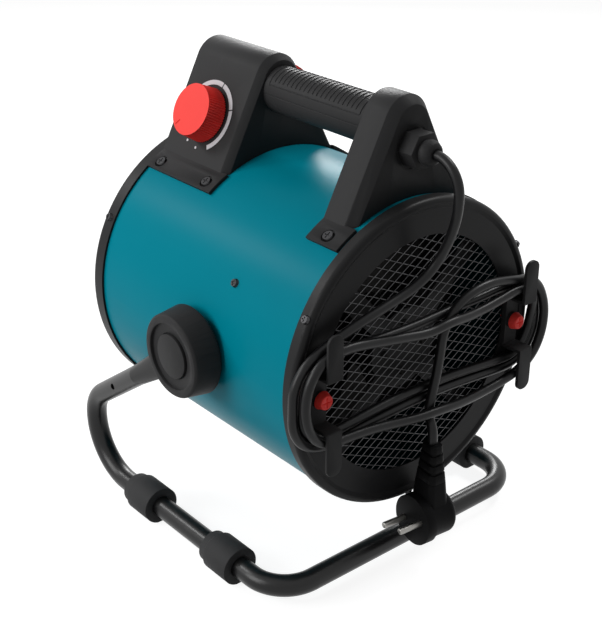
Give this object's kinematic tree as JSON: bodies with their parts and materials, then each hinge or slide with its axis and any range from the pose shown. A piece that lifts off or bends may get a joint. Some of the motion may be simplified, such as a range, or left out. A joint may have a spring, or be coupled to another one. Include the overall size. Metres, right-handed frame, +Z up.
{
  "type": "forced air heater",
  "caption": "Portable forced air heater: a drum on a tilting tube stand, with a carry handle, control knobs and a mains cord wound on rear cleats.",
  "frame": {"origin": "middle of the footprint on the floor, measured without the cord and its plug", "axes": "+Z up; the warm air leaves the front, -Y; +X is the side of the thermostat knob"},
  "size_m": [0.2716, 0.2857, 0.3476],
  "materials": {
    "casing": "satin teal powder coat",
    "black_sheet": "satin black paint",
    "black_moulding": "fine matte grain",
    "black_tube": "gloss black paint",
    "red_knob": "satin",
    "print": "printed ink",
    "zinc": "zinc plated",
    "galvanised": "galvanised sheet",
    "element": "heat stained",
    "fan": "satin black paint",
    "dark_screw": "blackened zinc",
    "cord": "satin sheath",
    "pins": "nickel plated"
  },
  "bodies": {
    "stand": {"stand_tube": "black_tube", "foot_sleeves": "black_moulding", "friction_washers": "black_moulding", "pivot_cover_left": "black_moulding", "pivot_cover_right": "black_moulding", "cover_caps": "black_moulding", "plug_body": "cord", "plug_relief": "cord", "plug_pins": "pins"},
    "drum": {"drum_casing": "casing", "front_ring": "black_sheet", "rear_ring": "black_sheet", "front_grille": "black_sheet", "rear_mesh": "zinc", "control_box": "black_moulding", "rear_bracket": "black_moulding", "handle_core": "zinc", "handle_upper_shell": "black_moulding", "handle_lower_shell": "black_moulding", "dial_scales": "print", "thermostat_body": "black_moulding", "selector_body": "black_moulding", "ring_screws": "dark_screw", "shroud_screws": "dark_screw", "bracket_screws": "dark_screw", "cleat_left": "black_moulding", "cleat_right": "black_moulding", "cleat_screws": "red_knob", "gland_body": "black_moulding", "gland_locknut": "black_moulding", "gland_nut": "black_moulding", "cord_drop": "cord", "cord_tail": "cord", "cord_hank": "cord", "supply_cable": "cord", "pivot_bosses": "black_moulding", "pivot_nuts": "zinc", "pivot_plates": "galvanised", "pivot_bolts": "zinc", "heat_shield": "galvanised", "fan_shroud": "black_sheet", "motor_body": "black_sheet", "motor_bracket": "black_sheet", "motor_screws": "zinc", "heating_elements": "element", "element_support": "galvanised", "element_leads": "cord", "terminal_block": "black_moulding", "thermal_cutout": "zinc"},
    "fan": {"fan_blades": "fan", "motor_shaft": "zinc"},
    "thermostat": {"thermostat_knob": "red_knob", "thermostat_spindle": "zinc"},
    "selector": {"selector_knob": "red_knob", "selector_spindle": "zinc"}
  },
  "joints": [
    {"name": "drum_tilt", "type": "hinge", "parent": "stand", "child": "drum", "pos_m": [0, 0.0064, 0.1661], "axis": [-1, 0, 0], "range_deg": [0, 25], "deforming": ["cord_tail"]},
    {"name": "fan_spin", "type": "hinge", "parent": "drum", "child": "fan", "pos_m": [0, 0.045, 0.1661], "axis": [0, -1, 0], "continuous": true},
    {"name": "thermostat_turn", "type": "hinge", "parent": "drum", "child": "thermostat", "pos_m": [0.03651, -0.079, 0.29988], "axis": [0.891, 0, 0.454], "range_deg": [-30, 240]},
    {"name": "selector_turn", "type": "hinge", "parent": "drum", "child": "selector", "pos_m": [-0.03515, -0.074, 0.30255], "axis": [-0.891, 0, 0.454], "range_deg": [-120, 0]}
  ]
}
